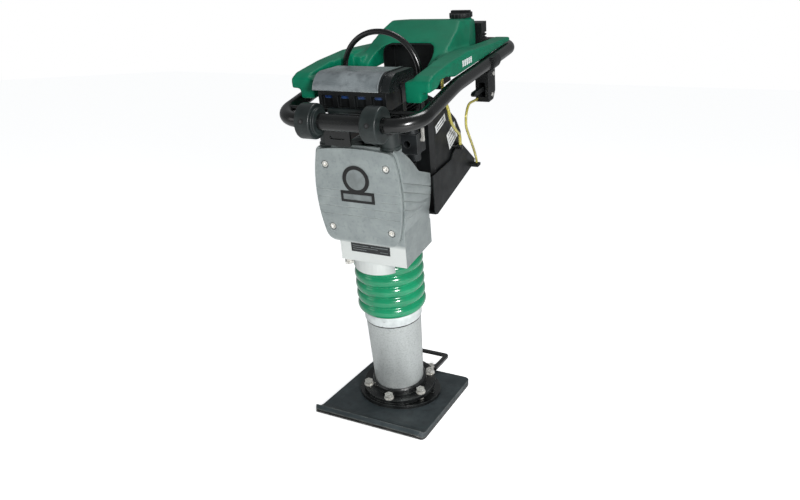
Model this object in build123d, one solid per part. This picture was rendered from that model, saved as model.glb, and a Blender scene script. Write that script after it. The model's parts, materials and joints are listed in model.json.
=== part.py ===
"""Jumping jack rammer: every piece in its own node, in millimetres.

The row frame has +Z up, the shoe's sole on Z = 0, the rollers and the gear cover towards -Y and the
operator's end of the handle towards +Y. Everything above the shoe is drawn in the leg frame, whose
Z runs up the leg, and lean() then tips it forward onto the shoe.
"""
from build123d import *
import math
import os

# ---- driving dimensions ------------------------------------------------------------------------
LEAN = 11.0               # the leg's tilt towards the front, degrees
LEG_Y = 33.0              # where the leg's axis meets the ground
SHOE_W = 280.0
SHOE_L = 335.0
SHOE_MID_Y = -0.5
SHOE_LIP_Y = -118.0       # where the sole starts to curl up
SHOE_LIP_R = 68.0
SHOE_LIP_TURN = 47.0
SOLE_T = 5.0
CORE_T = 12.0
SHOE_TOP = SOLE_T + CORE_T

LEG_R_LOW = 61.0
LEG_R_TOP = 67.5
LEG_BORE = 53.0
LEG_Z0 = 52.0
LEG_Z1 = 250.0
LEG_NECK_Z1 = 335.0
LEG_FLOOR = 62.0

BELLOWS_CREST = 82.5
BELLOWS_TROUGH = 74.0
BELLOWS_WALL = 3.0
BELLOWS_Z0 = 278.0
BELLOWS_Z1 = 418.0
BELLOWS_FOLDS = 5

GUIDE_R = 50.0
GUIDE_BORE = 42.0
RUN = 0.05                # radial clearance of a running fit

PISTON_Z0 = 128.0
PISTON_Z1 = 142.0
RETAINER_Z0 = 206.0
RETAINER_Z1 = 216.0
WRIST_Z = 410.0

CASE_BOTTOM = 440.0
CASE_FRONT = -98.0
CASE_REAR = 35.0
DRAIN_X = -53.0
DRAIN_Y = -86.0
COVER_FRONT = -107.0
COVER_BACK = -99.0
CRANK_Z = 575.0
CRANK_THROW = 26.0
MODULE = 2.0
GEAR_TEETH = 73
PINION_TEETH = 12
ENGINE_Z = CRANK_Z + MODULE * (GEAR_TEETH + PINION_TEETH) / 2
GEAR_Y0 = -62.0
GEAR_Y1 = -44.0

ROLLER_Y = -151.0
ROLLER_Z = 777.0
HANDLE_X = 10.0           # the whole handle stands this far to the right of the leg
BAR_R = 15.0
BAR_X = 156.0
BAR_Z = 803.0
BAR_REAR_Y = 485.0
PIVOT_Y = -75.0           # the handle's rubber mounts
MOUNT_X = 72.0
MOUNT_Z0 = 702.0

CLEANER_X = 10.0          # the air cleaner's middle
CLEANER_HALF = 87.0
CAP_X = 62.0
CAP_Y = 348.0
TAP_X = 96.0
TAP_Y = 130.0
STOP_X = 82.0
STOP_Z = 863.0
DRUM_R = 36.0
RECESS_X = 72.0            # the recess in the tank's front
RECESS_TOP = 864.0
RECESS_BACK = 240.0
RECESS_R = 26.0

os.makedirs("parts", exist_ok=True)


# ---- helpers -----------------------------------------------------------------------------------
def lean(shape):
    """From the leg frame to the row frame."""
    return Location((0, LEG_Y, 0), (LEAN, 0, 0)) * shape


def write(name, shape, leaning=True):
    export_step(lean(shape) if leaning else shape, f"parts/{name}.step")


def write_on_handle(name, shape):
    write(name, Pos(HANDLE_X, 0, 0) * shape)


def block(x0, x1, y0, y1, z0, z1):
    return Pos((x0 + x1) / 2, (y0 + y1) / 2, (z0 + z1) / 2) * Box(x1 - x0, y1 - y0, z1 - z0)


def rod_x(radius, x0, x1, y, z):
    return Pos((x0 + x1) / 2, y, z) * Rot(0, 90, 0) * Cylinder(radius, x1 - x0)


def rod_y(radius, y0, y1, x, z):
    return Pos(x, (y0 + y1) / 2, z) * Rot(90, 0, 0) * Cylinder(radius, y1 - y0)


def rod_z(radius, z0, z1, x=0.0, y=0.0):
    return Pos(x, y, (z0 + z1) / 2) * Cylinder(radius, z1 - z0)


def tube_x(outer, inner, x0, x1, y, z):
    return rod_x(outer, x0, x1, y, z) - rod_x(inner, x0 - 1, x1 + 1, y, z)


def tube_y(outer, inner, y0, y1, x, z):
    return rod_y(outer, y0, y1, x, z) - rod_y(inner, y0 - 1, y1 + 1, x, z)


def tube_z(outer, inner, z0, z1, x=0.0, y=0.0):
    return rod_z(outer, z0, z1, x, y) - rod_z(inner, z0 - 1, z1 + 1, x, y)


def slab_x(outline, x0, x1):
    """An outline drawn in Y and Z, thick from x0 to x1."""
    return extrude(Plane(origin=(x0, 0, 0), x_dir=(0, 1, 0), z_dir=(1, 0, 0)) * outline, amount=x1 - x0)


def slab_y(outline, y0, y1):
    """An outline drawn in X and Z, thick from y0 to y1."""
    return extrude(Plane(origin=(0, y1, 0), x_dir=(1, 0, 0), z_dir=(0, -1, 0)) * outline, amount=y1 - y0)


def slab_z(outline, z0, z1):
    return extrude(Plane.XY.offset(z0) * outline, amount=z1 - z0)


def outline_of(points):
    return make_face(Polyline(*points, close=True))


def hex_y(across, y0, y1, x, z):
    return slab_y(Pos(x, z) * RegularPolygon(across / 2, 6, major_radius=False), y0, y1)


def hex_z(across, z0, z1, x, y):
    return slab_z(Pos(x, y) * RegularPolygon(across / 2, 6, major_radius=False), z0, z1)


def polar(radius, degrees):
    return radius * math.cos(math.radians(degrees)), radius * math.sin(math.radians(degrees))


def pipe(points, radii, radius):
    path = FilletPolyline(*points, radius=radii)
    return sweep(Plane(origin=path @ 0, z_dir=path % 0) * Circle(radius), path=path)


def hose_radii(name, points):
    """The largest tangent arcs that a hose's runs allow, one for each corner."""
    radii = []
    for a, b, c in zip(points, points[1:], points[2:]):
        before, after = Vector(b) - Vector(a), Vector(c) - Vector(b)
        turn = math.radians(before.get_angle(after))
        radii.append(0.45 * min(before.length, after.length) / math.tan(turn / 2))
    print(name, "radii", [round(r, 1) for r in radii])
    return radii


# ---- shoe and leg ------------------------------------------------------------------------------
def shoe_layer(low, high):
    """A layer of the shoe between two heights above the ground, with its front curled up."""
    centre_y, centre_z = SHOE_LIP_Y, SHOE_LIP_R
    rear_y = SHOE_MID_Y + SHOE_L / 2
    turn = math.radians(SHOE_LIP_TURN)

    def at(radius, angle):
        return centre_y - radius * math.sin(angle), centre_z - radius * math.cos(angle)

    r_low, r_high = SHOE_LIP_R - low, SHOE_LIP_R - high
    edges = [
        Line((rear_y, low), (SHOE_LIP_Y, low)),
        ThreePointArc(at(r_low, 0), at(r_low, turn / 2), at(r_low, turn)),
        Line(at(r_low, turn), at(r_high, turn)),
        ThreePointArc(at(r_high, turn), at(r_high, turn / 2), at(r_high, 0)),
        Line((SHOE_LIP_Y, high), (rear_y, high)),
        Line((rear_y, high), (rear_y, low)),
    ]
    layer = slab_x(make_face(edges), -SHOE_W / 2, SHOE_W / 2)
    plan = slab_z(Pos(0, SHOE_MID_Y) * RectangleRounded(SHOE_W, SHOE_L, 16), -1, 60)
    return layer & plan


def foot_flange():
    """The cast ring that tips the leg forward on the shoe, with webs between its bolts."""
    base = rod_z(103, SHOE_TOP, SHOE_TOP + 9, 0, 30)
    collar = lean(rod_z(91, 42, LEG_Z0) + rod_z(73, 20, LEG_Z0))
    webs = [lean(Rot(0, 0, a) * block(60, 90, -4, 4, 20, 44)) for a in range(-54, 306, 60)]
    solid = base + collar
    for web in webs:
        solid = solid + web
    solid = solid - lean(rod_z(60, 10, 80))
    for x, y in bolt_places():
        solid = solid - lean(rod_z(6.05, -20, 60, x, y))
    return solid - block(-150, 150, -150, 200, -20, SHOE_TOP)


def bolt_places():
    return [polar(80, -84 + 60 * k) for k in range(6)]


def foot_bolts():
    """Hex bolts through the flange, with washers, and the two that hold the lifting handle."""
    group = []
    for x, y in bolt_places():
        low = (SHOE_TOP + 1 + y * math.sin(math.radians(LEAN))) / math.cos(math.radians(LEAN))
        low = low - y * 2 * math.sin(math.radians(LEAN))
        bolt = rod_z(6, low + 4, LEG_Z0, x, y) + rod_z(12, LEG_Z0, LEG_Z0 + 2.5, x, y)
        group.append(lean(bolt + hex_z(19, LEG_Z0 + 2.5, LEG_Z0 + 10.5, x, y)))
    for x in (-32, 32):
        group.append(rod_z(9, 32, 34, x, 152) + hex_z(13, 34, 40, x, 152))
    return Compound(children=group)


def foot_handle():
    """A flat bar loop bolted down behind the leg, to lift the foot by."""
    bar = 7.0
    loop = slab_z(Pos(0, 196) * RectangleRounded(96, 104, 14), 25, 25 + bar)
    loop = loop - slab_z(Pos(0, 202) * RectangleRounded(72, 68, 8), 20, 40)
    pads = [rod_z(11, SHOE_TOP, 25, x, 152) for x in (-32, 32)]
    return loop + pads[0] + pads[1]


def leg_tube():
    """The spring cylinder: a tapered tube with a spigot below and a neck inside the bellows."""
    taper = Pos(0, 0, (LEG_Z0 + LEG_Z1) / 2) * Cone(LEG_R_LOW, LEG_R_TOP, LEG_Z1 - LEG_Z0)
    solid = taper + rod_z(60, 32, LEG_Z0) + rod_z(62, LEG_Z1, BELLOWS_Z0 - 2) + rod_z(58, 274, LEG_NECK_Z1)
    return solid - rod_z(LEG_BORE, LEG_FLOOR, LEG_NECK_Z1 + 5)


def clamp_band(inner, outer, z0, z1, angle):
    """A band with its screw housing on one side."""
    x, y = polar(outer + 2.5, angle)
    screw = Pos(x, y, (z0 + z1) / 2) * Rot(0, 0, angle) * Box(9, 22, min(12, z1 - z0))
    return (rod_z(outer, z0, z1) + screw) - rod_z(inner, z0 - 2, z1 + 2)


def bellows():
    """Five round folds between a cuff on the leg and a cuff on the crankcase neck."""
    pitch = (BELLOWS_Z1 - BELLOWS_Z0) / BELLOWS_FOLDS
    solid = tube_z(66, 62, 254, BELLOWS_Z0) + tube_z(BELLOWS_TROUGH + 1, 62, BELLOWS_Z0 - 2, BELLOWS_Z0 + 2)
    solid = solid + tube_z(73, 70, BELLOWS_Z1 - 2, 433)
    for k in range(BELLOWS_FOLDS):
        low = BELLOWS_Z0 + k * pitch
        trough, crest, wall = BELLOWS_TROUGH, BELLOWS_CREST, BELLOWS_WALL
        edges = [
            ThreePointArc((trough, low), (crest, low + pitch / 2), (trough, low + pitch)),
            Line((trough, low + pitch), (trough - wall, low + pitch)),
            ThreePointArc((trough - wall, low + pitch), (crest - wall, low + pitch / 2),
                          (trough - wall, low)),
            Line((trough - wall, low), (trough, low)),
        ]
        solid = solid + revolve(Plane.XZ * make_face(edges), Axis.Z)
    return solid


def spring(z0, z1, mean, wire, turns):
    """A compression spring with its ends ground flat by the seats."""
    height = z1 - z0 - 2 * wire
    helix = Pos(0, 0, z0 + wire) * Helix(height / turns, height, mean)
    return sweep(Plane(origin=helix @ 0, z_dir=helix % 0) * Circle(wire), path=helix, is_frenet=True)


# ---- plunger and connecting rod ----------------------------------------------------------------
def plunger():
    """The guide piston with its fork for the connecting rod, and the rod down to the springs."""
    head = rod_z(GUIDE_BORE - RUN, 365, 424) - block(-60, 60, -13, 13, 388, 440)
    stem = rod_z(15, PISTON_Z1, 368) + rod_z(10, PISTON_Z0 - 10, PISTON_Z1 + 1)
    return head + stem - rod_y(8, -60, 60, 0, WRIST_Z)


def connecting_rod():
    big_z = CRANK_Z - CRANK_THROW
    shank = slab_y(outline_of([(-8, WRIST_Z), (8, WRIST_Z), (11, big_z), (-11, big_z)]), -7, 7)
    solid = shank + rod_y(15, -11, 11, 0, WRIST_Z) + rod_y(23, -11, 11, 0, big_z)
    return solid - rod_y(8 + RUN, -20, 20, 0, WRIST_Z) - rod_y(14, -20, 20, 0, big_z)


def guide_cylinder():
    """The tube that the guide piston slides in, with a flange inside the crankcase."""
    flange = tube_z(56, GUIDE_BORE, 452, 457) & block(-60, 60, -60, 25.5, 450, 460)
    return tube_z(GUIDE_R, GUIDE_BORE, 250, 453) + flange


def guide_bushes():
    """Two bushes in the neck of the leg, which slides on the guide cylinder."""
    return Compound(children=[tube_z(LEG_BORE - 0.02, GUIDE_R + RUN, z, z + 16) for z in (288, 317)])


# ---- crankcase ---------------------------------------------------------------------------------
def cover_outline(grow=0.0):
    """The shield shape of the gear cover, in X and Z."""
    low, high = 491 - grow, 701 + grow
    foot, waist, shoulder = 84 + grow, 102 + grow, 89 + grow
    face = make_face([
        ThreePointArc((foot, low), (waist, 598), (shoulder, high)),
        ThreePointArc((shoulder, high), (0, high + 7), (-shoulder, high)),
        ThreePointArc((-shoulder, high), (-waist, 598), (-foot, low)),
        Line((-foot, low), (foot, low)),
    ])
    face = fillet(face.vertices().sort_by(Axis.Y)[:2], 26)
    return fillet(face.vertices().sort_by(Axis.Y)[-2:], 16)


def case_profile(inset=0.0):
    """The crankcase from the side, in Y and Z: its top steps down behind the gear."""
    return outline_of([
        (CASE_FRONT - inset, CASE_BOTTOM + inset), (38 - inset, CASE_BOTTOM + inset), (38 - inset, 498),
        (CASE_REAR - inset, 502), (CASE_REAR - inset, 612 - inset), (-20, 637 - inset),
        (-50, 675 - inset), (-73, 697 - inset), (CASE_FRONT - inset, 716 - inset),
    ])


def bolt_bosses():
    return [(sx * 72, z) for z in (524, 669) for sx in (-1, 1)]


def side_grooves(side):
    """Shallow steps that run down towards the rear on one side of the crankcase."""
    group = []
    for k in range(5):
        step = Pos(side * 107.5, -32, 530 + 20 * k) * Rot(-24, 0, 0) * Box(10, 150, 2.2)
        group.append(step)
    return group


def crankcase_housing():
    outer = slab_y(cover_outline(4.5), CASE_FRONT, 40) + slab_y(
        outline_of([(-64, CASE_BOTTOM), (98, CASE_BOTTOM), (98, 560), (-64, 560)]), CASE_FRONT, 40)
    outer = outer & slab_x(case_profile(), -120, 120)
    outer = outer + rod_y(58, -60, CASE_REAR, 0, ENGINE_Z)
    for side in (-1, 1):
        for groove in side_grooves(side):
            outer = outer - groove
    neck = tube_z(70, 60.5, 405, CASE_BOTTOM + 1)
    skirt = rod_z(66, 405, CASE_BOTTOM + 1, 0, -26) - rod_z(BELLOWS_CREST + 2, 400, CASE_BOTTOM)
    cavity = slab_y(cover_outline(-9), CASE_FRONT - 1, 26) & slab_x(case_profile(8), -120, 120)
    cavity = cavity + block(-57, 82, CASE_FRONT + 10, 26, 452, 520) + block(-45, 45, -60, 26, 560, 660)
    cavity = cavity + rod_y(50, -70, 26, 0, ENGINE_Z) + block(-82, 82, -76, -36, 560, 655)
    solid = outer - cavity
    for x, z in bolt_bosses():
        solid = solid + (rod_y(17, CASE_FRONT, -80, x, z) & outer)
    solid = solid + neck + skirt
    for x in (-MOUNT_X, MOUNT_X):
        seat = MOUNT_Z0 - 0.05
        pocket = rod_z(23, seat, 730, x, PIVOT_Y) + block(x - 16, x + 16, -99, -80, seat, 730)
        solid = solid + rod_z(22, 668, MOUNT_Z0, x, PIVOT_Y) - pocket
    for x, z in bolt_bosses():
        solid = solid - rod_y(4, -110, -84, x, z)
    solid = solid - rod_z(GUIDE_R, 400, 453) - rod_y(12, 0, 60, 0, ENGINE_Z)
    return solid - rod_z(8, 430, 446, DRAIN_X, DRAIN_Y)


def crankcase_cover():
    solid = slab_y(cover_outline(), COVER_FRONT, COVER_BACK)
    for x, z in bolt_bosses():
        solid = solid - rod_y(9, COVER_FRONT - 1, COVER_FRONT + 5, x, z) - rod_y(4, -120, -80, x, z)
    for z in (613, 594, 575, 556):
        solid = solid - block(-120, 120, COVER_FRONT - 1, COVER_FRONT + 0.8, z - 0.8, z + 0.8)
    boss = rod_y(34, COVER_BACK, COVER_BACK + 12, 0, CRANK_Z)
    return solid + boss - rod_y(15 + RUN, -104, -80, 0, CRANK_Z)


def cover_gasket():
    solid = slab_y(cover_outline(), COVER_BACK, CASE_FRONT) - slab_y(cover_outline(-9), -110, -80)
    for x, z in bolt_bosses():
        solid = solid + rod_y(8, COVER_BACK, CASE_FRONT, x, z) - rod_y(4, -120, -80, x, z)
    return solid


def cover_bolts():
    group = []
    for x, z in bolt_bosses():
        head = rod_y(6.5, -106, -102, x, z) - hex_y(6, -107, -103.5, x, z)
        group.append(head + rod_y(4, -102, -84, x, z) - hex_y(6, -107, -103.5, x, z))
    return Compound(children=group)


def gear(teeth, y0, y1, z, first, bore):
    """A spur gear about Y, with straight-flanked teeth that leave some backlash."""
    pitch_r = MODULE * teeth / 2
    root, tip = pitch_r - 1.25 * MODULE, pitch_r + 0.85 * MODULE
    step = 360 / teeth
    points = []
    for k in range(teeth):
        middle = first + k * step
        for radius, share in ((root, -0.30), (tip, -0.12), (tip, 0.12), (root, 0.30)):
            points.append(polar(radius, middle + share * step))
    wheel = slab_y(Pos(0, z) * outline_of(points), y0, y1)
    return wheel - rod_y(bore, y0 - 1, y1 + 1, 0, z) if bore else wheel


def crank_gear():
    """The big gear on its stub shaft, with the crank pin that drives the connecting rod."""
    wheel = gear(GEAR_TEETH, GEAR_Y0, GEAR_Y1, CRANK_Z, 90, 0)
    for k in range(6):
        x, z = polar(48, 30 + 60 * k)
        wheel = wheel - rod_y(13, GEAR_Y0 - 1, GEAR_Y1 + 1, x, z + CRANK_Z)
    hub = rod_y(26, GEAR_Y0 - 6, GEAR_Y1, 0, CRANK_Z) + rod_y(15, -102, GEAR_Y0, 0, CRANK_Z)
    web = rod_y(20, GEAR_Y1 - 1, GEAR_Y1 + 5, 0, CRANK_Z - CRANK_THROW)
    return wheel + hub + web + rod_y(13, GEAR_Y1, -12.5, 0, CRANK_Z - CRANK_THROW)


def clutch_drum():
    """The pinion, its shaft and the clutch's drum, in one turning piece."""
    pinion = gear(PINION_TEETH, GEAR_Y0, GEAR_Y1, ENGINE_Z, 285, 0)
    drum = rod_y(48, 38, 60, 0, ENGINE_Z) - rod_y(45, 41, 61, 0, ENGINE_Z)
    return pinion + rod_y(8, GEAR_Y1 - 1, 40, 0, ENGINE_Z) + drum


# ---- engine ------------------------------------------------------------------------------------
def engine_block():
    bell = tube_y(60, 52, CASE_REAR, 68, 0, ENGINE_Z)
    case = rod_y(54, 64, 150, 0, ENGINE_Z)
    barrel = block(-32, 32, 76, 140, 700, 776)
    solid = bell + case + barrel
    for k in range(7):
        z = 718 + 8.5 * k
        solid = solid + block(-46, 46, 68, 148, z, z + 3)
    solid = solid + block(40, 58, 76, 96, 681, 699)
    return solid - rod_y(10, 30, 160, 0, ENGINE_Z)


def engine_rotor():
    """Crankshaft with the clutch's hub and shoes in front and the flywheel's fan behind."""
    shaft = rod_y(9.9, 56, 200, 0, ENGINE_Z)
    hub = rod_y(14, 43, 58, 0, ENGINE_Z)
    shoes = tube_y(43, 26, 44, 58, 0, ENGINE_Z) - block(-3, 3, 40, 60, 600, 720)
    arm = block(-40, 40, 46, 56, ENGINE_Z - 5, ENGINE_Z + 5)
    wheel = rod_y(58, 158, 170, 0, ENGINE_Z)
    for k in range(12):
        wheel = wheel + Pos(0, 0, ENGINE_Z) * Rot(0, 30 * k, 0) * block(30, 58, 168, 182, -1.5, 1.5)
    return shaft + hub + shoes + arm + wheel


def recoil_housing():
    """The cup over the flywheel, open in front, slotted at its back for cooling air."""
    cup = rod_y(76, 155, 232, 0, ENGINE_Z) - rod_y(72, 150, 228, 0, ENGINE_Z)
    for k in range(10):
        slot = Pos(0, 0, ENGINE_Z) * Rot(0, 36 * k, 0) * block(42, 64, 220, 240, -3, 3)
        cup = cup - slot
    eyelet = rod_y(9, 228, 238, -28, 690) - rod_y(4, 210, 240, -28, 690)
    cup = cup - rod_y(8, 220, 236, -28, 690)
    return cup + eyelet + rod_y(6, 204, 229, 0, ENGINE_Z)


def starter_pulley():
    reel = rod_y(30, 207, 222, 0, ENGINE_Z) - tube_y(40, 24, 211, 218, 0, ENGINE_Z)
    return reel - rod_y(6 + RUN, 200, 230, 0, ENGINE_Z)


def starter_grip():
    """The T-shaped pull handle, seated on the recoil housing's eyelet."""
    bar = Pos(-28, 254, 690) * Rot(0, 90, 0) * Cylinder(9, 72)
    return bar + rod_y(6, 239, 250, -28, 690) + rod_y(8, 238.5, 246, -28, 690)


def spark_plug():
    return (rod_z(5, 776, 780, 0, 108) + hex_z(16, 780, 786, 0, 108) + rod_z(8, 786, 798, 0, 108)
            + Pos(0, 98, 796) * Rot(90, 0, 0) * Cylinder(6, 28))


def muffler():
    body = block(-116, -56, 74, 150, 640, 716)
    body = fillet(body.edges().filter_by(Axis.Y), 12)
    outlet = rod_y(9, 150, 166, -92, 660)
    return body + outlet - rod_y(7, 140, 170, -92, 660) + block(-58, -46, 92, 124, 700, 714)


def engine_shroud():
    """The moulded fan shroud on the engine's right side, open towards the engine."""
    outer = slab_x(outline_of([(60, 592), (190, 592), (236, 614), (238, 650), (208, 692), (158, 730),
                               (84, 744), (60, 732)]), 62, 106)
    outer = chamfer(outer.faces().sort_by(Axis.X)[-1].edges(), 9)
    inner = slab_x(outline_of([(64, 596), (189, 596), (232, 617), (234, 649), (205, 689), (156, 726),
                               (85, 740), (64, 729)]), 50, 102)
    inner = chamfer(inner.faces().sort_by(Axis.X)[-1].edges(), 8)
    return outer - inner - rod_y(76.5, 150, 240, 0, ENGINE_Z) - rod_y(13, 50, 100, 76, 690)


def belly_guard():
    """The V-shaped pan under the engine, open behind, with a lug for the throttle cable."""
    outer = slab_x(outline_of([(39, 510), (52, 506), (300, 543), (303, 552), (206, 630), (160, 616),
                               (150, 604), (39, 604)]), -112, 112)
    inner = slab_x(outline_of([(30, 514), (52, 509.5), (297, 546.5), (320, 558), (320, 660),
                               (30, 660)]), -109, 109)
    return outer - inner + block(110, 131, 272, 292, 541, 547.8)


def carburettor():
    """The carburettor ahead of the shroud, with its manifold back to the cylinder."""
    body = block(62, 100, -8, 34, 668, 712) + rod_z(15, 710, 724, 80, 12)
    bowl = rod_z(15, 650, 669, 81, 13)
    manifold = rod_y(11, 33, 86, 76, 690) + block(58, 80, 74, 98, 679, 701)
    return body + bowl + manifold - rod_y(8, -10, 60, 76, 690)


def choke_lever():
    """A short lever on a spindle at the carburettor's outer face."""
    return rod_x(4, 100.3, 107, 13, 696) + block(103, 107, 9, 17, 696, 722)


# ---- air cleaner -------------------------------------------------------------------------------
def cleaner_base():
    """The black lower half, with four vents in front and its duct down to the carburettor."""
    low, high = 786.0, 821.0
    x0, x1 = CLEANER_X - CLEANER_HALF + 8, CLEANER_X + CLEANER_HALF - 12
    body = slab_x(outline_of([(-102, low), (0, low), (0, 817), (-102, 825)]), x0, x1)
    for k in range(4):
        middle = x0 + 20 + k * (x1 - x0 - 40) / 3
        body = body - block(middle - 13, middle + 13, -104, -92, low + 7, high - 4)
    body = body - block(x0 + 10, x1 - 10, -82, -10, low + 6, 830)
    return body + block(66, 84, -14, 26, 724, 738) + block(66, 84, -28, -12, 724, low + 1)


def cleaner_cover():
    """The lid: a curved front that runs into a flat top, over the base."""
    outline = make_face([
        ThreePointArc((-110, 828), (-98, 848), (-64, 858)),
        Line((-64, 858), (0, 853)),
        Line((0, 853), (6, 847)),
        Line((6, 847), (6, 819)),
        Line((6, 819), (-110, 828)),
    ])
    inner = make_face([
        ThreePointArc((-105, 826), (-94, 844), (-62, 853.5)),
        Line((-62, 853.5), (0, 848.5)),
        Line((0, 848.5), (1.5, 846)),
        Line((1.5, 846), (1.5, 818)),
        Line((1.5, 818), (-105, 826)),
    ])
    x0, x1 = CLEANER_X - CLEANER_HALF, CLEANER_X + CLEANER_HALF
    solid = slab_x(outline, x0, x1) - slab_x(inner, x0 + 4, x1 - 4)
    ridge = slab_x(outline, x1 - 26, x1 - 18) - slab_x(inner, 0, 200)
    return solid + Pos(0, -1.5, 2) * ridge


def cleaner_clips():
    group = []
    for x in (CLEANER_X - CLEANER_HALF - 3.5, CLEANER_X + CLEANER_HALF + 0.5):
        strap = block(x, x + 3, -62, -42, 796, 840)
        group.append(strap)
    return Compound(children=group)


def lifting_bail():
    """A round bar arch behind the air cleaner, standing on a plate and post."""
    points = [(-90, 50, 742), (-90, 50, 915), (90, 50, 915), (90, 50, 742)]
    foot = block(-97, 97, 44, 56, 736, 744) + block(-14, 14, 44, 56, 710, 737)
    return pipe(points, [88, 88], 6) + foot - rod_y(60.02, 30, 70, 0, ENGINE_Z)


def shock_mounts():
    group = []
    for x in (-MOUNT_X, MOUNT_X):
        washer = tube_z(22.5, 6, MOUNT_Z0 + 3, MOUNT_Z0 + 7, x, PIVOT_Y)
        group.append(tube_z(20, 6, MOUNT_Z0, 752, x, PIVOT_Y) + washer)
    return Compound(children=group)


# ---- handle and tank ---------------------------------------------------------------------------
def handle_frame():
    """The tube loop around the machine, with the rear bar at the operator's end."""
    half = [(0, ROLLER_Y, ROLLER_Z), (BAR_X, ROLLER_Y, ROLLER_Z), (BAR_X, 60, BAR_Z),
            (BAR_X, BAR_REAR_Y, BAR_Z + 4), (0, BAR_REAR_Y, BAR_Z + 4)]
    right = pipe(half, [58, 400, 72], BAR_R)
    left = mirror(right, Plane.YZ)
    brace = rod_x(5.5, -150, 150, -110, 789)
    return right + left + brace


FRAME = handle_frame()


def mount_bracket():
    """The plate on the rubber mounts, its arms to the front bar and its slotted tongue."""
    plate = block(-94, 94, -108, -50, 752, 758)
    arm = slab_x(outline_of([(-108, 752), (-60, 752), (-60, 760), (-108, 772), (-151, 786),
                             (-151, 758)]), 100, 106)
    side = arm + block(84, 106, -108, -50, 752, 758)
    tongue = block(-66, -6, -119, -104, 752, 757) + block(-66, -6, -119, -114, 716, 757)
    slot = block(-50, -22, -130, -116, 730, 738)
    for x in (-50, -22):
        slot = slot + rod_y(4, -130, -116, x, 734)
    return plate + side + mirror(side, Plane.YZ) + (tongue - slot) - FRAME


def tank_body(inset):
    """The tank's middle: a long front slope up to the ridge, side walls that taper to the rear."""
    side = outline_of([(104 + inset, 816 + inset), (104 + inset, 832 - inset * 0.4), (165, 859 - inset),
                       (275 + inset * 0.4, 901 - inset), (382 - inset, 886 - inset), (392 - inset, 850),
                       (386 - inset, 816 + inset)])
    front = outline_of([(-102 + inset, 816 + inset), (106 - inset, 816 + inset), (98 - inset, 884),
                        (88 - inset * 0.5, 902), (inset * 0.5 - 88, 902), (inset - 102, 880)])
    plan = outline_of([(-102 + inset, 90), (106 - inset, 90), (106 - inset, 275), (75 - inset, 430),
                       (-90 + inset, 430), (-102 + inset, 200)])
    return slab_x(side, -130, 130) & slab_y(front, 90, 430) & slab_z(plan, 780, 920)


def tank_recess(grow):
    """The space in the tank's front, open ahead and below, that clears the engine."""
    outline = RectangleRounded(2 * (RECESS_X + grow), 2 * (RECESS_TOP - 800 + grow), RECESS_R + grow)
    return slab_y(Pos(0, 800) * outline, 90, RECESS_BACK + grow)


def fuel_tank():
    """The moulded tank: a hollow body, two legs down beside the air cleaner and arms along the bars."""
    arm_outline = outline_of([(-78, 821), (-78, 842), (-56, 851), (30, 857), (140, 858), (300, 843),
                              (430, 834), (430, 823), (60, 821), (10, 832), (-20, 832), (-36, 821)])
    bridge = slab_x(outline_of([(108, 824), (292, 824), (288, 838), (190, 852), (108, 848)]), 90, 130)
    arm = slab_x(arm_outline, 118, 159)
    leg = block(104, 159, -78, -40, 821, 842) + block(104, 139, -78, -40, 800, 823)
    right = arm + leg + bridge + slab_x(outline_of([(60, 824), (120, 824), (120, 857), (30, 855)]), 112, 120)
    solid = tank_body(0) + right + mirror(right, Plane.YZ)
    solid = solid - tank_recess(0) - (tank_body(3.5) - tank_recess(3.5))
    solid = solid + rod_z(8, 806, 817, TAP_X, TAP_Y)
    return solid - rod_z(20, 866, 920, CAP_X, CAP_Y) + tube_z(24, 20, 870, 899, CAP_X, CAP_Y)


def heat_shield():
    """A black liner in the tank's recess, which hangs down behind the engine."""
    liner = (tank_recess(-0.02) - tank_recess(-2.5)) & block(-80, 80, 182, 250, 768, 870)
    return liner + block(-46, 46, RECESS_BACK - 2.5, RECESS_BACK - 0.02, 745, 769)


def fuel_cap():
    """A screw cap with notches round its rim and a bar across its top to turn it by."""
    bar = block(CAP_X - 24, CAP_X + 24, CAP_Y - 5, CAP_Y + 5, 904, 911)
    cap = rod_z(28, 895.5, 905.5, CAP_X, CAP_Y) + bar
    for k in range(18):
        x, y = polar(28, 20 * k)
        cap = cap - rod_z(1.5, 890, 908, CAP_X + x, CAP_Y + y)
    return cap - tube_z(24.6, 19.5, 893, 900, CAP_X, CAP_Y) + rod_z(19.4, 884, 897, CAP_X, CAP_Y)


def switch_box():
    """The ribbed box on the tank's rear corner that carries the stop button."""
    solid = block(66, 98, 393, 428, 798, 873)
    solid = solid + slab_x(outline_of([(386.3, 817), (391.95, 849.5), (394, 849.5), (394, 817)]), 68, 80)
    for k in range(6):
        z = 803 + 8 * k
        solid = solid - block(60, 107, 425, 432, z, z + 4) - block(95, 107, 390, 432, z, z + 4)
    return solid - rod_y(7.3, 418, 436, STOP_X, STOP_Z)


def throttle_box():
    """The control's housing under the right bar, with a window for its lever."""
    body = slab_x(outline_of([(256, 714), (288, 714), (304, 732), (304, 784), (254, 784),
                              (254, 716)]), 128, 160)
    clip = rod_y(20, 256, 302, BAR_X, BAR_Z + 2.3) & block(100, 200, 250, 310, 780, 819)
    window = block(136, 152, 246, 290, 726, 760)
    return body + clip - FRAME - window


def throttle_lever():
    """The lever that turns in the housing's window and reaches forward under the bar."""
    pin = rod_x(4, 136.5, 151.5, 276, 741)
    blade = slab_x(outline_of([(272, 737), (280, 737), (280, 745), (246, 752), (196, 752), (190, 747),
                               (196, 742), (246, 742)]), 139, 149)
    return pin + blade


def fuel_tap_lever():
    """A flat lever that turns on a pin under the tank."""
    blade = block(TAP_X - 28, TAP_X - 20, TAP_Y - 4, TAP_Y + 34, 803, 807)
    return rod_z(5, 803, 815.7, TAP_X - 24, TAP_Y) + blade


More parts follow.
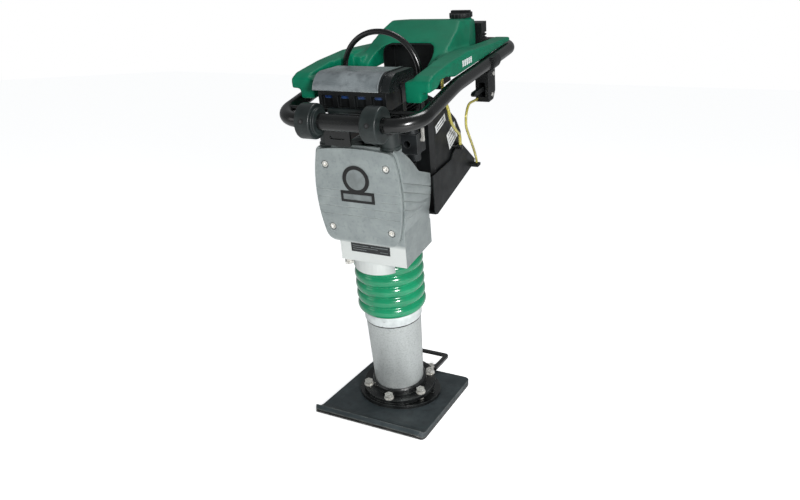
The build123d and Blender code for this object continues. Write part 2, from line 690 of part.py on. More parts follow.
def transport_roller():
    drums = []
    for x in (-73, 73):
        drum = rod_x(DRUM_R, x - 17, x + 17, ROLLER_Y, ROLLER_Z)
        drum = fillet(drum.edges(), 3)
        inner = -1 if x > 0 else 1
        lip = rod_x(27, x + inner * 19 - 4, x + inner * 19 + 4, ROLLER_Y, ROLLER_Z)
        drums.append(drum + lip - rod_x(BAR_R + RUN, -120, 120, ROLLER_Y, ROLLER_Z))
    return Compound(children=drums)


# ---- hoses, as the points of their routes in the leg frame --------------------------------------
THROTTLE_CABLE_R = 3.0
THROTTLE_CABLE = [(142, 253.7, 722), (142, 236, 722), (143, 214, 725.5), (144, 191, 727),
                  (145, 177, 720), (145, 167.3, 707.5), (145, 164.2, 692), (144, 168.2, 676.7),
                  (142.5, 180, 663), (139.5, 202, 639), (135, 230, 611), (130.5, 255, 585),
                  (127, 273, 564), (125, 281, 549.8)]
FUEL_HOSE_R = 3.5
FUEL_HOSE = [(106, 130, 805.7), (106, 130, 786), (113, 115, 768), (126, 97, 756), (136, 88, 738),
             (136, 95, 714), (134, 115, 695), (132, 140, 675), (128, 164, 664), (126, 172, 650),
             (126, 172, 634)]


def hose(name, points, radius):
    return pipe(points, hose_radii(name, points), radius)


# ---- the pieces, written one to a file ----------------------------------------------------------
write("shoe_sole", shoe_layer(0, SOLE_T), False)
write("shoe_core", shoe_layer(SOLE_T, SHOE_TOP), False)
write("foot_flange", foot_flange(), False)
write("foot_bolts", foot_bolts(), False)
write("foot_handle", foot_handle(), False)
write("leg_tube", leg_tube())
write("bellows_clamp_lower", clamp_band(66, 70, 252, 276, 120))
write("bellows_clamp_upper", clamp_band(73, 75.5, 420, 432, 100))
write("bellows", bellows())
write("lower_spring", spring(LEG_FLOOR, PISTON_Z0, 34, 4.5, 3.5))
write("upper_spring", spring(PISTON_Z1, RETAINER_Z0, 34, 4.5, 3.5))
write("spring_retainer", tube_z(LEG_BORE, 18, RETAINER_Z0, RETAINER_Z1))
write("guide_bushes", guide_bushes())

write("plunger_rod", plunger())
write("spring_piston", tube_z(44, 10, PISTON_Z0, PISTON_Z1))
write("piston_nut", hex_z(30, PISTON_Z0 - 9, PISTON_Z0, 0, 0) - rod_z(10, 100, 140))
write("wrist_pin", rod_y(8, -36, 36, 0, WRIST_Z))
write("connecting_rod", connecting_rod())

write("crankcase_housing", crankcase_housing())
write("crankcase_cover", crankcase_cover())
write("cover_gasket", cover_gasket())
write("cover_bolts", cover_bolts())
write("emblem_badge", rod_y(31, COVER_FRONT - 1.2, COVER_FRONT, 0, 640))
write("nameplate", block(-36, 60, CASE_FRONT - 1, CASE_FRONT, 464, 485))
write("drain_plug", rod_z(8, 432, 446, DRAIN_X, DRAIN_Y) + hex_z(20, 426, 432, DRAIN_X, DRAIN_Y))
write("guide_cylinder", guide_cylinder())
write("crank_gear", crank_gear())
write("clutch_drum", clutch_drum())

write("engine_block", engine_block())
write("engine_rotor", engine_rotor())
write("recoil_housing", recoil_housing())
write("starter_pulley", starter_pulley())
write("starter_grip", starter_grip())
write("spark_plug", spark_plug())
write("muffler", muffler())
write("engine_shroud", engine_shroud())
write("belly_guard", belly_guard())
write("fuel_inlet", rod_x(4.5, 106, 131, 172, 627) + rod_z(4.5, 627, 633.7, 126, 172))
write("carburettor", carburettor())
write("choke_lever", choke_lever())

write("cleaner_base", cleaner_base())
write("filter_element", block(CLEANER_X - 66, CLEANER_X + 62, -80, -12, 793, 838))
write("cleaner_cover", cleaner_cover())
write("cleaner_clips", cleaner_clips())
write("lifting_bail", lifting_bail())
write("shock_mounts", shock_mounts())

write_on_handle("handle_frame", FRAME)
write_on_handle("mount_bracket", mount_bracket())
write_on_handle("fuel_tank", fuel_tank())
write_on_handle("heat_shield", heat_shield())
write_on_handle("fuel_cap", fuel_cap())
write_on_handle("switch_box", switch_box())
write_on_handle("stop_button", rod_y(7, 423, 433, STOP_X, STOP_Z))
write_on_handle("throttle_box", throttle_box())
write_on_handle("throttle_lever", throttle_lever())
write_on_handle("fuel_tap_lever", fuel_tap_lever())
write_on_handle("roller_tube", tube_x(17, BAR_R + RUN, -49.5, 49.5, ROLLER_Y, ROLLER_Z))
write_on_handle("roller_drums", transport_roller())
write("throttle_cable", hose("throttle_cable", THROTTLE_CABLE, THROTTLE_CABLE_R))
write("fuel_hose", hose("fuel_hose", FUEL_HOSE, FUEL_HOSE_R))
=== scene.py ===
"""Jumping jack rammer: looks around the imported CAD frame. Metres, row frame."""
import json
import math

import bmesh
import bpy
from mathutils import Matrix, Vector


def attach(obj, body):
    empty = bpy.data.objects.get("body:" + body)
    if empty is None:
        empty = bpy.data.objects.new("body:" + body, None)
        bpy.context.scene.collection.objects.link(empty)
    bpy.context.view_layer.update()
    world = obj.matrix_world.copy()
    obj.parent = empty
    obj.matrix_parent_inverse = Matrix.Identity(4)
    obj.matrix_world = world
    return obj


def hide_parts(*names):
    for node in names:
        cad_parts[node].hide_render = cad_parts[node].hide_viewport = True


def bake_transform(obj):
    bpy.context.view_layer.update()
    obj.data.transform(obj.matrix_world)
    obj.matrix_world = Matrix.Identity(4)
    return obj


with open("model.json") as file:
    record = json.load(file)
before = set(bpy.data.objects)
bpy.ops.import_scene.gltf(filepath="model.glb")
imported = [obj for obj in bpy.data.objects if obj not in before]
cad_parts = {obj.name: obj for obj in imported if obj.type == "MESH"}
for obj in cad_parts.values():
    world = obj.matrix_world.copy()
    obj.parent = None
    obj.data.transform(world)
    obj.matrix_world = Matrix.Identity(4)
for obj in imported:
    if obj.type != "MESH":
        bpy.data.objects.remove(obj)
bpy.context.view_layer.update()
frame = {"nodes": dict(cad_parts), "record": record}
NODES = frame["nodes"]

# ---- places --------------------------------------------------------------------------------------
LEAN = math.radians(11)
LEG_Y = 0.033
MM = 0.001
TO_ROW = Matrix.Translation((0, LEG_Y, 0)) @ Matrix.Rotation(LEAN, 4, "X")
SLOT_OF = {row["node"]: row["material_slot"] for row in frame["record"]["subparts"]}

# The camera as solved from the photograph, in the row frame.
CAMERA_PLACE = (0.699, -1.43, 0.89)
CAMERA_RIGHT = (0.9001, 0.4356, 0.0048)
CAMERA_FORWARD = (-0.4197, 0.8701, -0.2586)
LENS, SHIFT_Y = 31.05, -0.03125

# Places and sizes in the leg frame, in millimetres.
CAP_X, CAP_V, CAP_W, NECK_R = 72, 348, 882, 23
BELLOWS_LOW, BELLOWS_HIGH, FOLDS = 278, 418, 5
FOLD_GROOVE, FOLD_CREST, FIRST_GROOVE = 73.5, 82.5, 70
GRIP_X, GRIP_W, ROPE_R = -28, 690, 2.2
ROLLER_V, ROLLER_W, DRUM_R = -151, 777, 36
LEFT_DRUM_X, RIGHT_DRUM_X = -63, 83
SHROUD_X = 106
COVER_V, BADGE_W = -107, 640
PLATE_V = -99
BRACE_V, BRACE_W = -111, 787.3
ARM_SIDE_X, ARM_MARK_PITCH = 169.2, 12
CLEANER_LOW_X, CLEANER_HIGH_X, VENT_INSET = -69, 85, 20
HOUSING_SIDE_X = 170.8

# Diameters and lengths of the cable and the hose, in metres.
CABLE_D, CABLE_LENGTH = 0.006, 0.296
HOSE_D, HOSE_LENGTH = 0.007, 0.230

# How finely the tank is remeshed, in metres, and how often it is smoothed.
TANK_VOXEL, TANK_SMOOTHING = 0.002, 20


def leg(x, v, w):
    """A point of the leaning leg frame, in millimetres, as a point of the row frame, in metres."""
    return TO_ROW @ Vector((x * MM, v * MM, w * MM))


# ---- camera, light and floor ---------------------------------------------------------------------
def make_camera():
    data = bpy.data.cameras.new("camera")
    data.sensor_width = 36
    data.lens = LENS
    data.shift_y = SHIFT_Y
    camera = bpy.data.objects.new("camera", data)
    bpy.context.scene.collection.objects.link(camera)
    right = Vector(CAMERA_RIGHT).normalized()
    forward = Vector(CAMERA_FORWARD).normalized()
    up = right.cross(forward).normalized()
    forward = up.cross(right).normalized()
    turn = Matrix((right, up, -forward)).transposed().to_4x4()
    camera.matrix_world = Matrix.Translation(CAMERA_PLACE) @ turn
    bpy.context.scene.camera = camera


def area_light(name, place, target, size, power, tint=(1, 1, 1)):
    data = bpy.data.lights.new(name, "AREA")
    data.shape = "RECTANGLE"
    data.size, data.size_y = size
    data.energy = power
    data.color = tint
    light = bpy.data.objects.new(name, data)
    bpy.context.scene.collection.objects.link(light)
    light.location = place
    light.rotation_euler = (Vector(target) - Vector(place)).to_track_quat("-Z", "Y").to_euler()


def make_studio():
    world = bpy.data.worlds.new("studio")
    bpy.context.scene.world = world
    world.use_nodes = True
    nodes, links = world.node_tree.nodes, world.node_tree.links
    nodes["Background"].inputs["Color"].default_value = (0.95, 0.98, 1.0, 1)
    nodes["Background"].inputs["Strength"].default_value = 0.26
    backdrop = nodes.new("ShaderNodeBackground")
    rays = nodes.new("ShaderNodeLightPath")
    blend = nodes.new("ShaderNodeMixShader")
    links.new(rays.outputs["Is Camera Ray"], blend.inputs["Fac"])
    links.new(nodes["Background"].outputs["Background"], blend.inputs[1])
    links.new(backdrop.outputs["Background"], blend.inputs[2])
    links.new(blend.outputs["Shader"], nodes["World Output"].inputs["Surface"])
    backdrop.inputs["Color"].default_value = (1, 1, 1, 1)
    bpy.context.scene.view_settings.view_transform = "Standard"
    area_light("key", (1.65, -1.75, 1.1), (0, 0, 0.45), (0.45, 0.45), 50)
    area_light("fill", (-1.6, -1.6, 1.0), (0, 0, 0.5), (0.9, 0.9), 3)
    area_light("top", (0.2, 0.5, 2.6), (0, 0, 0.6), (1.0, 0.5), 14)
    mesh = bpy.data.meshes.new("floor")
    half = 14
    corners = [(-half, -half, 0), (half, -half, 0), (half, half, 0), (-half, half, 0)]
    mesh.from_pydata(corners, [], [(0, 1, 2, 3)])
    floor = bpy.data.objects.new("floor", mesh)
    bpy.context.scene.collection.objects.link(floor)
    material = bpy.data.materials.new("floor")
    material.use_nodes = True
    shader = material.node_tree.nodes["Principled BSDF"]
    shader.inputs["Base Color"].default_value = (0.93, 0.935, 0.94, 1)
    shader.inputs["Roughness"].default_value = 0.7
    shader.inputs["Emission Color"].default_value = (1, 1, 1, 1)
    rays = material.node_tree.nodes.new("ShaderNodeLightPath")
    glow = material.node_tree.nodes.new("ShaderNodeMath")
    glow.operation = "MULTIPLY_ADD"
    glow.inputs[1].default_value = 0.6
    glow.inputs[2].default_value = 0.14
    material.node_tree.links.new(rays.outputs["Is Camera Ray"], glow.inputs[0])
    material.node_tree.links.new(glow.outputs["Value"], shader.inputs["Emission Strength"])
    floor.data.materials.append(material)


# ---- materials -----------------------------------------------------------------------------------
def linear(rgb):
    """An sRGB colour, 0 to 255, as the linear colour that a shader takes."""
    return [(c / 255 / 12.92 if c < 11 else ((c / 255 + 0.055) / 1.055) ** 2.4) for c in rgb] + [1]


class Surface:
    """A principled material built up from layers in object space."""

    def __init__(self, name, rgb, rough, metallic=0.0):
        self.material = bpy.data.materials.new(name)
        self.material.use_nodes = True
        self.tree = self.material.node_tree
        self.shader = self.tree.nodes["Principled BSDF"]
        self.shader.inputs["Metallic"].default_value = metallic
        self.shader.inputs["Roughness"].default_value = rough
        self.rough = rough
        self.place = self.add("ShaderNodeTexCoord").outputs["Object"]
        self.colour = None
        self.rgb = linear(rgb)
        self.normal = None

    def add(self, kind, **settings):
        node = self.tree.nodes.new(kind)
        for key, value in settings.items():
            setattr(node, key, value)
        return node

    def link(self, a, b):
        self.tree.links.new(a, b)

    def noise(self, scale, detail=4.0, stretch=None):
        node = self.add("ShaderNodeTexNoise")
        node.inputs["Scale"].default_value = scale
        node.inputs["Detail"].default_value = detail
        source = self.place
        if stretch:
            mapping = self.add("ShaderNodeMapping")
            mapping.inputs["Scale"].default_value = stretch
            self.link(source, mapping.inputs["Vector"])
            source = mapping.outputs["Vector"]
        self.link(source, node.inputs["Vector"])
        return node.outputs["Fac"]

    def ramp(self, source, low, high, out_low=0.0, out_high=1.0):
        node = self.add("ShaderNodeMapRange")
        for key, value in (("From Min", low), ("From Max", high),
                           ("To Min", out_low), ("To Max", out_high)):
            node.inputs[key].default_value = value
        self.link(source, node.inputs["Value"])
        return node.outputs["Result"]

    def mix(self, rgb, mask):
        """Lays a colour over what is there, where the mask says."""
        node = self.add("ShaderNodeMix", data_type="RGBA")
        if self.colour is None:
            node.inputs["A"].default_value = self.rgb
        else:
            self.link(self.colour, node.inputs["A"])
        node.inputs["B"].default_value = linear(rgb)
        self.link(mask, node.inputs["Factor"])
        self.colour = node.outputs["Result"]
        return self

    def mottle(self, rgb, scale, low=0.4, high=0.65, share=1.0):
        return self.mix(rgb, self.ramp(self.noise(scale), low, high, 0, share))

    def beyond(self, rgb, x):
        """Lays a colour over everything to the right of a plane, x in metres."""
        split = self.add("ShaderNodeSeparateXYZ")
        self.link(self.place, split.inputs["Vector"])
        return self.mix(rgb, self.ramp(split.outputs["X"], x - 0.0003, x + 0.0003))

    def painted_low_front_light(self, rgb, high, low, share):
        """Lays a colour over what faces the front and stands below a height in metres: a painted
        pool of light.
        """
        split = self.add("ShaderNodeSeparateXYZ")
        self.link(self.place, split.inputs["Vector"])
        facing = self.add("ShaderNodeSeparateXYZ")
        self.link(self.add("ShaderNodeTexCoord").outputs["Normal"], facing.inputs["Vector"])
        product = self.add("ShaderNodeMath", operation="MULTIPLY")
        self.link(self.ramp(split.outputs["Z"], high, low, 0, share), product.inputs[0])
        self.link(self.ramp(facing.outputs["Y"], -0.45, -0.85), product.inputs[1])
        return self.mix(rgb, product.outputs["Value"])

    def edges(self, rgb, radius, share=0.8, noise_scale=60.0):
        """Lays a colour along the edges, broken up by noise: wear on some finishes, a painted
        highlight on others.
        """
        bevel = self.add("ShaderNodeBevel", samples=6)
        bevel.inputs["Radius"].default_value = radius
        geometry = self.add("ShaderNodeNewGeometry")
        dot = self.add("ShaderNodeVectorMath", operation="DOT_PRODUCT")
        self.link(bevel.outputs["Normal"], dot.inputs[0])
        self.link(geometry.outputs["Normal"], dot.inputs[1])
        edge = self.ramp(dot.outputs["Value"], 0.995, 0.86)
        broken = self.ramp(self.noise(noise_scale), 0.35, 0.6, 0.15, share)
        product = self.add("ShaderNodeMath", operation="MULTIPLY")
        self.link(edge, product.inputs[0])
        self.link(broken, product.inputs[1])
        return self.mix(rgb, product.outputs["Value"])

    def bump(self, scale, depth, detail=4.0, stretch=None):
        node = self.add("ShaderNodeBump")
        node.inputs["Strength"].default_value = 1.0
        node.inputs["Distance"].default_value = depth
        self.link(self.noise(scale, detail, stretch), node.inputs["Height"])
        if self.normal is not None:
            self.link(self.normal, node.inputs["Normal"])
        self.normal = node.outputs["Normal"]
        return self

    def smudge(self, scale, spread):
        """Lets the roughness wander by noise."""
        self.link(self.ramp(self.noise(scale), 0.3, 0.7, self.rough - spread, self.rough + spread),
                  self.shader.inputs["Roughness"])
        return self

    def dull(self, level):
        """Lowers the share of light that the surface mirrors."""
        self.shader.inputs["Specular IOR Level"].default_value = level
        return self

    def coat(self, weight, rough):
        self.shader.inputs["Coat Weight"].default_value = weight
        self.shader.inputs["Coat Roughness"].default_value = rough
        return self

    def done(self):
        if self.colour is None:
            self.shader.inputs["Base Color"].default_value = self.rgb
        else:
            self.link(self.colour, self.shader.inputs["Base Color"])
        if self.normal is not None:
            self.link(self.normal, self.shader.inputs["Normal"])
        return self.material


def make_materials():
    made = {}

    def keep(slot, surface):
        made[slot] = surface.done()

    keep("green_plastic", Surface("green_plastic", (0, 104, 76), 0.44).mottle((1, 114, 84), 9)
         .mottle((0, 92, 68), 26, 0.5, 0.7, 0.6).edges((50, 150, 116), 0.003, 0.5, 40)
         .bump(900, 0.00012).bump(14, 0.0012, 2).smudge(30, 0.07).dull(0.18))
    keep("green_bellows", Surface("green_bellows", (2, 144, 98), 0.2).mottle((1, 126, 84), 14)
         .bump(30, 0.0005, 2).smudge(40, 0.05).coat(0.7, 0.06))
    keep("grey_leg", Surface("grey_leg", (190, 195, 194), 0.4, 0.5)
         .mottle((206, 210, 209), 420, 0.42, 0.6, 0.6).mottle((156, 162, 160), 230, 0.5, 0.7, 0.5)
         .bump(520, 0.0002).smudge(50, 0.08))
    # Below a height on the front faces, the near white layer is a painted pool of light; the light
    # edges are partly wear and partly a painted rim highlight.
    keep("cast_aluminium", Surface("cast_aluminium", (142, 150, 150), 0.4, 0.35)
         .mottle((157, 165, 164), 32, 0.4, 0.7, 0.8).mottle((124, 132, 132), 150, 0.52, 0.72, 0.5)
         .painted_low_front_light((222, 226, 223), 0.466, 0.456, 0.9)
         .edges((214, 220, 216), 0.0012, 0.6, 50).bump(700, 0.00018).bump(90, 0.0004, 3)
         .smudge(60, 0.07))
    keep("band_steel", Surface("band_steel", (222, 228, 228), 0.34, 0.15)
         .mottle((204, 210, 210), 60).edges((235, 236, 232), 0.0012)
         .bump(500, 0.0001).smudge(70, 0.08))
    keep("zinc_bolts", Surface("zinc_bolts", (226, 225, 220), 0.28, 0.55)
         .mottle((196, 193, 184), 160).edges((250, 250, 246), 0.0008)
         .bump(900, 0.00008).smudge(120, 0.08))
    keep("ground_steel", Surface("ground_steel", (176, 178, 180), 0.2, 1.0)
         .mottle((150, 152, 155), 60).bump(400, 0.00006, 2, (1, 1, 0.05)))
    keep("spring_steel", Surface("spring_steel", (92, 93, 95), 0.35, 0.9).mottle((70, 68, 64), 50)
         .bump(300, 0.0001))
    keep("gear_steel", Surface("gear_steel", (120, 122, 126), 0.3, 0.95).mottle((96, 97, 100), 40)
         .edges((190, 192, 195), 0.001).bump(300, 0.0001))
    keep("bronze", Surface("bronze", (170, 128, 70), 0.35, 0.9).mottle((140, 104, 56), 80)
         .bump(500, 0.0001))
    keep("engine_alloy", Surface("engine_alloy", (42, 45, 47), 0.42, 0.4).mottle((28, 30, 32), 50)
         .edges((128, 132, 133), 0.0014).bump(500, 0.0002).smudge(60, 0.1))
    keep("black_steel", Surface("black_steel", (5, 6, 6), 0.26).mottle((11, 14, 14), 18, 0.45, 0.75)
         .edges((50, 58, 58), 0.0012, 0.4, 70).bump(160, 0.00012, 2).smudge(26, 0.05).dull(0.5)
         .coat(0.25, 0.2))
    keep("black_plastic", Surface("black_plastic", (9, 11, 12), 0.46)
         .mottle((20, 24, 25), 22, 0.45, 0.75).edges((66, 72, 72), 0.0018, 0.5, 60)
         .bump(1200, 0.00014).smudge(30, 0.08).dull(0.35))
    keep("black_rubber", Surface("black_rubber", (20, 27, 27), 0.4)
         .mottle((36, 45, 44), 30, 0.4, 0.72).edges((92, 104, 102), 0.002, 0.5, 60)
         .bump(420, 0.00025).smudge(40, 0.09))
    keep("black_flange", Surface("black_flange", (14, 15, 16), 0.3).mottle((34, 36, 36), 40)
         .edges((120, 124, 122), 0.0015, 0.7, 70).bump(260, 0.0003).smudge(50, 0.1))
    keep("worn_steel_shoe", Surface("worn_steel_shoe", (47, 56, 59), 0.5, 0.1)
         .mottle((64, 73, 76), 16, 0.42, 0.68).mottle((43, 48, 51), 60, 0.5, 0.7, 0.7)
         .edges((142, 144, 138), 0.004, 0.75, 45).bump(60, 0.0007, 5).bump(700, 0.0002)
         .smudge(40, 0.1))
    keep("sole_steel", Surface("sole_steel", (24, 25, 26), 0.4, 0.5)
         .mottle((60, 60, 58), 30, 0.5, 0.7).edges((150, 150, 145), 0.003, 0.8, 40)
         .bump(80, 0.0006, 5).smudge(40, 0.1))
    keep("gasket_black", Surface("gasket_black", (14, 14, 14), 0.7).mottle((22, 22, 22), 60)
         .bump(500, 0.0002))
    keep("badge_plastic", Surface("badge_plastic", (128, 135, 135), 0.35, 0.2)
         .mottle((112, 118, 118), 50).edges((24, 26, 26), 0.003, 1.0, 5).bump(700, 0.0001))
    keep("plate_black", Surface("plate_black", (20, 22, 23), 0.35).mottle((36, 39, 40), 70)
         .edges((170, 174, 172), 0.0008, 0.9, 60).bump(600, 0.0001))
    keep("ceramic", Surface("ceramic", (228, 226, 218), 0.18).mottle((214, 210, 198), 60)
         .bump(300, 0.0001))
    keep("muffler_steel", Surface("muffler_steel", (34, 33, 33), 0.55, 0.4).mottle((58, 50, 44), 30)
         .edges((96, 92, 88), 0.0015).bump(300, 0.0003))
    keep("lid_grey", Surface("lid_grey", (110, 118, 121), 0.28, 0.1)
         .mottle((140, 148, 151), 16, 0.4, 0.7).mottle((72, 78, 82), 60, 0.5, 0.72, 0.5)
         .edges((190, 194, 194), 0.0025, 0.7, 50).beyond((16, 20, 21), 0.074)
         .bump(900, 0.00014).smudge(34, 0.08))
    keep("filter_paper", Surface("filter_paper", (204, 176, 112), 0.8).mottle((180, 150, 92), 60)
         .bump(400, 0.0003))
    keep("lever_red", Surface("lever_red", (178, 26, 20), 0.32).mottle((150, 20, 16), 50)
         .bump(700, 0.0001))
    hose = Surface("yellow_tube", (214, 206, 112), 0.22).mottle((186, 174, 74), 40)
    hose.bump(300, 0.0001)
    hose.shader.inputs["Transmission Weight"].default_value = 0.35
    keep("yellow_tube", hose.coat(0.3, 0.1))
    # The light blue edges of the vent tabs are a painted highlight.
    keep("vent_blue", Surface("vent_blue", (16, 36, 80), 0.22).mottle((34, 66, 116), 90)
         .edges((132, 168, 204), 0.0016, 1.0, 30).bump(400, 0.0001))
    keep("label_white", Surface("label_white", (226, 228, 228), 0.38).mottle((206, 208, 208), 60)
         .bump(500, 0.0001))
    return made


MATERIALS = {}


# ---- finishing the CAD nodes ---------------------------------------------------------------------
# The width in millimetres of the soft edge on each CAD node that has one.
BEVELS = {
    "shoe_core": 2.5, "shoe_sole": 1.5, "foot_flange": 1.2, "foot_handle": 1.5,
    "crankcase_housing": 2.0, "crankcase_cover": 1.6, "foot_bolts": 0.6,
    "bellows_clamp_lower": 0.8, "cleaner_cover": 2.0, "cleaner_base": 1.5, "belly_guard": 1.0,
    "engine_shroud": 1.0, "mount_bracket": 1.0, "switch_box": 1.0, "throttle_box": 1.5,
    "roller_drums": 1.5, "fuel_cap": 0.6, "engine_block": 0.6, "muffler": 1.0,
    "carburettor": 1.0, "lifting_bail": 0.6, "nameplate": 0.4, "throttle_lever": 0.8,
    "recoil_housing": 1.0, "starter_grip": 1.0, "cleaner_clips": 0.6,
}


def soften_edges(obj, width):
    """A rounded edge, width in millimetres, wherever the faces turn sharply."""
    bevel = obj.modifiers.new("bevel", "BEVEL")
    bevel.width = width * MM
    bevel.segments = 3
    bevel.limit_method = "ANGLE"
    bevel.angle_limit = math.radians(35)
    bevel.harden_normals = True


def finish_cad_nodes():
    """Gives each CAD node the material of its slot, and soft edges where it has them."""
    for name, obj in NODES.items():
        obj.data.materials.clear()
        obj.data.materials.append(MATERIALS[SLOT_OF[name]])
        if name in BEVELS:
            weld = obj.modifiers.new("weld", "WELD")
            weld.merge_threshold = 2e-6
            flat = obj.modifiers.new("flat", "DECIMATE")
            flat.decimate_type = "DISSOLVE"
            flat.angle_limit = math.radians(0.4)
            soften_edges(obj, BEVELS[name])


# ---- new pieces, drawn in the leg frame in millimetres -------------------------------------------
def piece(name, mesh, slot, smooth=True):
    """A mesh in row coordinates becomes an object with a finish."""
    obj = bpy.data.objects.new(name, mesh)
    bpy.context.scene.collection.objects.link(obj)
    mesh.materials.clear()
    mesh.materials.append(MATERIALS[slot])
    mesh.polygons.foreach_set("use_smooth", [smooth] * len(mesh.polygons))
    return obj


def to_mesh(name, bm):
    """A bmesh in leg millimetres, as a mesh in row metres."""
    bm.transform(TO_ROW @ Matrix.Scale(MM, 4))
    bmesh.ops.recalc_face_normals(bm, faces=bm.faces)
    mesh = bpy.data.meshes.new(name)
    bm.to_mesh(mesh)
    bm.free()
    return mesh


def add_box(bm, x, v, w):
    """A box between pairs of x, v and w."""
    middle = [(a + b) / 2 for a, b in (x, v, w)]
    size = [b - a for a, b in (x, v, w)]
    place = Matrix.Translation(middle) @ Matrix.Diagonal((*size, 1))
    bmesh.ops.create_cube(bm, size=1, matrix=place)


def add_rod(bm, centre, axis, radius, length, sides=32):
    """A solid cylinder about its centre, along a direction."""
    turn = Vector(axis).to_track_quat("Z", "Y").to_matrix().to_4x4()
    bmesh.ops.create_cone(bm, cap_ends=True, segments=sides, radius1=radius, radius2=radius,
                          depth=length, matrix=Matrix.Translation(centre) @ turn)


def add_lathe(bm, profile, matrix, sides=96):
    """A closed profile of radius and height, turned about the Z of the matrix."""
    rings = []
    for k in range(sides):
        turn = 2 * math.pi * k / sides
        points = [Vector((r * math.cos(turn), r * math.sin(turn), z)) for r, z in profile]
        rings.append([bm.verts.new(matrix @ point) for point in points])
    for k in range(sides):
        here, there = rings[k], rings[(k + 1) % sides]
        for j in range(len(profile)):
            after = (j + 1) % len(profile)
            bm.faces.new((here[j], there[j], there[after], here[after]))


# ---- tank ----------------------------------------------------------------------------------------
def outer_skin(bm):
    """Deletes every island of the mesh but the one with the most vertices."""
    left, islands = set(bm.verts), []
    while left:
        start = left.pop()
        island, front = [start], [start]
        while front:
            vert = front.pop()
            for edge in vert.link_edges:
                other = edge.other_vert(vert)
                if other in left:
                    left.remove(other)
                    island.append(other)
                    front.append(other)
        islands.append(island)
    islands.sort(key=len)
    for island in islands[:-1]:
        bmesh.ops.delete(bm, geom=island, context="VERTS")


def tank():
    """The moulded tank, as the CAD has it but with the soft edges of a blow moulding."""
    bm = bmesh.new()
    add_rod(bm, (CAP_X, CAP_V, CAP_W), (0, 0, 1), NECK_R, 20)
    bm.transform(TO_ROW @ Matrix.Scale(MM, 4))
    bm.from_mesh(NODES["fuel_tank"].data)
    mesh = bpy.data.meshes.new("rough_tank")
    bm.to_mesh(mesh)
    bm.free()
    rough = bpy.data.objects.new("rough_tank", mesh)
    bpy.context.scene.collection.objects.link(rough)
    remesh = rough.modifiers.new("remesh", "REMESH")
    remesh.mode = "VOXEL"
    remesh.voxel_size = TANK_VOXEL
    bpy.context.view_layer.update()
    remeshed = rough.evaluated_get(bpy.context.evaluated_depsgraph_get())
    fine = bpy.data.meshes.new_from_object(remeshed)
    bpy.data.objects.remove(rough)
    bm = bmesh.new()
    bm.from_mesh(fine)
    outer_skin(bm)
    for _ in range(TANK_SMOOTHING):
        bmesh.ops.smooth_vert(bm, verts=bm.verts, factor=0.5,
                              use_axis_x=True, use_axis_y=True, use_axis_z=True)
    bm.to_mesh(fine)
    bm.free()
    shell = piece("tank_shell", fine, "green_plastic")
    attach(shell, "handle")
    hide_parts("fuel_tank")


# ---- soft pieces between two bodies --------------------------------------------------------------
def bellows():
    """Round folds with narrow grooves, in place of the CAD bellows."""
    outside = [(66, BELLOWS_LOW - 22), (66.5, BELLOWS_LOW - 2)]
    pitch = (BELLOWS_HIGH - BELLOWS_LOW) / FOLDS
    for fold in range(FOLDS):
        for t in (0.02, 0.07, 0.15, 0.26, 0.38, 0.5, 0.62, 0.74, 0.85, 0.93, 0.98):
            bulge = math.sin(math.pi * t) ** 0.5
            groove = FIRST_GROOVE if fold == 0 and t < 0.5 else FOLD_GROOVE
            radius = groove + (FOLD_CREST - groove) * bulge
            outside.append((radius, BELLOWS_LOW + pitch * (fold + t)))
    outside += [(72.8, BELLOWS_HIGH), (72.8, BELLOWS_HIGH + 15)]
    inside = [(70.2, BELLOWS_HIGH + 15), (71, BELLOWS_HIGH), (71, BELLOWS_LOW + 4),
              (62.5, BELLOWS_LOW - 22)]
    bm = bmesh.new()
    add_lathe(bm, outside + inside, Matrix.Identity(4))
    folds = piece("bellows_folds", to_mesh("bellows_folds", bm), "green_bellows")
    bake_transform(folds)
    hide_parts("bellows")


def stretch(node, a, b, start, end):
    """A still copy of a CAD node, in place of the node."""
    soft = piece(node + "_soft", NODES[node].data.copy(), SLOT_OF[node], smooth=False)
    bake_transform(soft)
    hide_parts(node)


def starter_rope():
    """The rope between the recoil housing and the grip, almost all inside at rest."""
    bm = bmesh.new()
    add_rod(bm, (GRIP_X, 235, GRIP_W), (0, 1, 0), ROPE_R, 20, 16)
    rope = piece("starter_rope", to_mesh("starter_rope", bm), "black_rubber")
    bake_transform(rope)


# ---- cable and hose ------------------------------------------------------------------------------
THROTTLE_CABLE = [(142, 253.7, 722), (142, 236, 722), (143, 214, 725.5), (144, 191, 727),
                  (145, 177, 720), (145, 167.3, 707.5), (145, 164.2, 692), (144, 168.2, 676.7),
                  (142.5, 180, 663), (139.5, 202, 639), (135, 230, 611), (130.5, 255, 585),
                  (127, 273, 564), (125, 281, 549.8)]
FUEL_HOSE = [(106, 130, 805.7), (106, 130, 786), (113, 115, 768), (126, 97, 756), (136, 88, 738),
             (136, 95, 714), (134, 115, 695), (132, 140, 675), (128, 164, 664), (126, 172, 650),
             (126, 172, 634)]


def route_of(points):
    """The line of the route's NURBS spline, in the row frame."""
    curve = bpy.data.curves.new("route", "CURVE")
    curve.dimensions = "3D"
    spline = curve.splines.new("NURBS")
    spline.points.add(len(points) - 1)
    for control, point in zip(spline.points, points):
        control.co = (*leg(*point), 1)
    spline.order_u = 3
    spline.use_endpoint_u = True
    spline.resolution_u = 8
    holder = bpy.data.objects.new("route", curve)
    bpy.context.scene.collection.objects.link(holder)
    line = bpy.data.meshes.new_from_object(holder)
    route = [vert.co.copy() for vert in line.vertices]
    bpy.data.objects.remove(holder)
    return route


